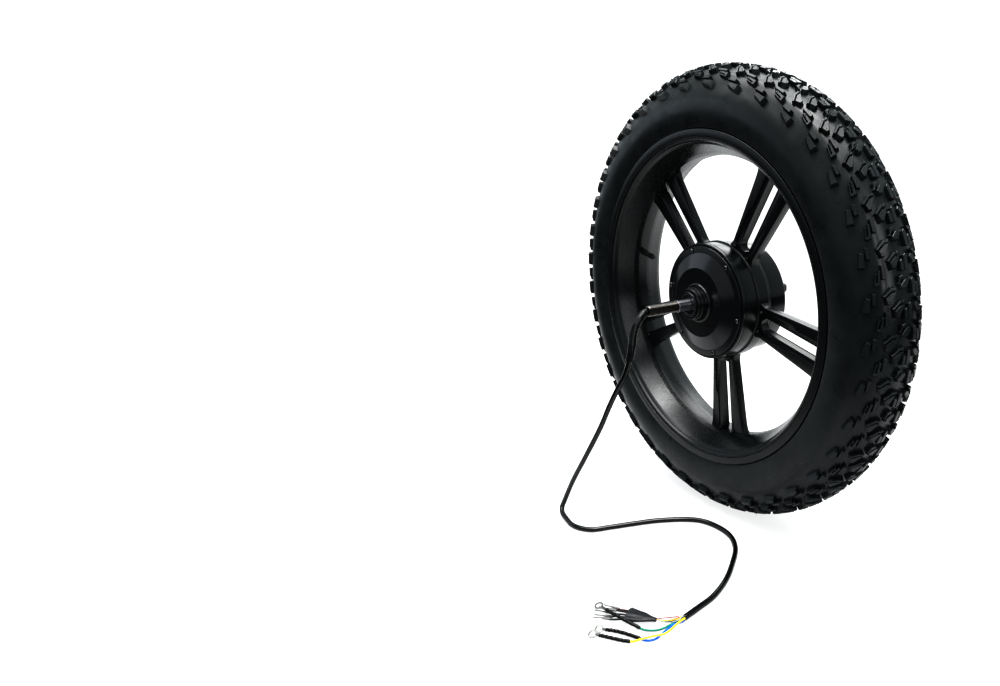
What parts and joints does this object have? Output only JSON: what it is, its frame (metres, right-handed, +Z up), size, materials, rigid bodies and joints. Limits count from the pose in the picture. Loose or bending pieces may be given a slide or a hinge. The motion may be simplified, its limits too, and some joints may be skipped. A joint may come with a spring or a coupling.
{
  "type": "hub motor wheel",
  "caption": "Fat-tyre cast wheel in satin black with a geared hub motor at its centre, a hollow threaded axle with flats and a motor cable ending in crimped leads.",
  "frame": {"origin": "wheel centre: on the axle's axis, midway between the two rim flanges; the whole assembly's centroid lies about 1 mm from it", "axes": "+Y along the axle from the cable side to the plain rear side, +Z up from the tyre's contact with the floor, +X across the axle, normal to its flats"},
  "size_m": [0.6, 0.4302, 0.6],
  "materials": {
    "tyre_rubber": "dull black rubber",
    "tube_rubber": "smooth butyl rubber",
    "valve_rubber": "smooth black rubber",
    "valve_cap_plastic": "black moulded plastic",
    "black_cast_metal": "satin black coating on cast alloy, faint cast texture",
    "black_motor_housing": "satin black coating, turned face",
    "screw_steel": "bright plated screw",
    "seal_rubber": "black lip seal",
    "bearing_steel": "ground bearing steel",
    "dark_steel": "blackened steel, semi-gloss",
    "axle_steel": "turned and threaded steel, lightly darkened",
    "gear_steel": "machined steel",
    "planet_nylon": "off-white nylon",
    "lamination_steel": "stacked electrical steel",
    "winding_copper": "enamelled copper wire",
    "stator_aluminium": "cast and machined aluminium",
    "circuit_board": "green solder mask",
    "rotor_steel": "pressed steel can",
    "magnet_plating": "nickel-plated magnets",
    "cable_black": "black PVC jacket",
    "sleeve_black": "black heat-shrink",
    "boot_grey": "dark grey flattened heat-shrink",
    "wire_green": "green insulation",
    "wire_blue": "blue insulation",
    "wire_yellow": "yellow insulation",
    "terminal_tin": "tin-plated crimp",
    "hall_red": "thin red insulation",
    "hall_orange": "thin orange insulation",
    "hall_yellow": "thin yellow insulation",
    "hall_white": "thin pale grey insulation",
    "hall_black": "thin black insulation"
  },
  "bodies": {
    "axle_assembly": {"axle": "axle_steel", "stator_core": "lamination_steel", "stator_windings": "winding_copper", "stator_mount": "stator_aluminium", "hall_sensor_board": "circuit_board", "rotor_bearing": "bearing_steel", "front_bearing_inner": "bearing_steel", "rear_bearing_inner": "bearing_steel", "front_dust_collar": "dark_steel", "rear_dust_collar": "dark_steel", "planet_carrier": "gear_steel", "one_way_clutch": "gear_steel", "motor_cable": "cable_black", "cable_sleeve": "sleeve_black", "phase_wire_green": "wire_green", "phase_wire_blue": "wire_blue", "phase_wire_yellow": "wire_yellow", "phase_sleeve_green": "sleeve_black", "phase_sleeve_blue": "sleeve_black", "phase_sleeve_yellow": "sleeve_black", "phase_terminal_green": "terminal_tin", "phase_terminal_blue": "terminal_tin", "phase_terminal_yellow": "terminal_tin", "hall_wire_1": "hall_red", "hall_wire_2": "hall_orange", "hall_wire_3": "hall_yellow", "hall_wire_4": "hall_white", "hall_wire_5": "hall_black", "hall_boot": "boot_grey", "hall_pin_1": "terminal_tin", "hall_pin_2": "terminal_tin", "hall_pin_3": "terminal_tin", "hall_pin_4": "terminal_tin", "hall_pin_5": "terminal_tin"},
    "wheel": {"cast_wheel": "black_cast_metal", "tyre": "tyre_rubber", "inner_tube": "tube_rubber", "valve_stem": "valve_rubber", "valve_cap": "valve_cap_plastic", "motor_shell": "black_motor_housing", "front_cover": "black_motor_housing", "cover_screw_1": "screw_steel", "cover_screw_2": "screw_steel", "cover_screw_3": "screw_steel", "cover_screw_4": "screw_steel", "cover_screw_5": "screw_steel", "cover_screw_6": "screw_steel", "front_seal": "seal_rubber", "rear_seal": "seal_rubber", "front_bearing_outer": "bearing_steel", "rear_bearing_outer": "bearing_steel", "ring_gear": "gear_steel"},
    "rotor": {"rotor_can": "rotor_steel", "magnet_ring": "magnet_plating", "sun_gear": "gear_steel"},
    "planet_1": {"planet_gear_1": "planet_nylon"},
    "planet_2": {"planet_gear_2": "planet_nylon"},
    "planet_3": {"planet_gear_3": "planet_nylon"}
  },
  "joints": [
    {"name": "wheel_spin", "type": "hinge", "parent": "axle_assembly", "child": "wheel", "pos_m": [0, 0, 0], "axis": [0, 1, 0], "continuous": true},
    {"name": "rotor_spin", "type": "hinge", "parent": "axle_assembly", "child": "rotor", "pos_m": [0, 0, 0], "axis": [0, 1, 0], "continuous": true},
    {"name": "planet_1_spin", "type": "hinge", "parent": "axle_assembly", "child": "planet_1", "pos_m": [-0.03375, 0.018, 0], "axis": [0, 1, 0], "continuous": true},
    {"name": "planet_2_spin", "type": "hinge", "parent": "axle_assembly", "child": "planet_2", "pos_m": [0.01688, 0.018, 0.02923], "axis": [0, 1, 0], "continuous": true},
    {"name": "planet_3_spin", "type": "hinge", "parent": "axle_assembly", "child": "planet_3", "pos_m": [0.01688, 0.018, -0.02923], "axis": [0, 1, 0], "continuous": true}
  ],
  "couplings": [
    {"joint": "rotor_spin", "follows": "wheel_spin", "ratio": -4},
    {"joint": "planet_1_spin", "follows": "wheel_spin", "ratio": 2.6667},
    {"joint": "planet_2_spin", "follows": "wheel_spin", "ratio": 2.6667},
    {"joint": "planet_3_spin", "follows": "wheel_spin", "ratio": 2.6667}
  ]
}
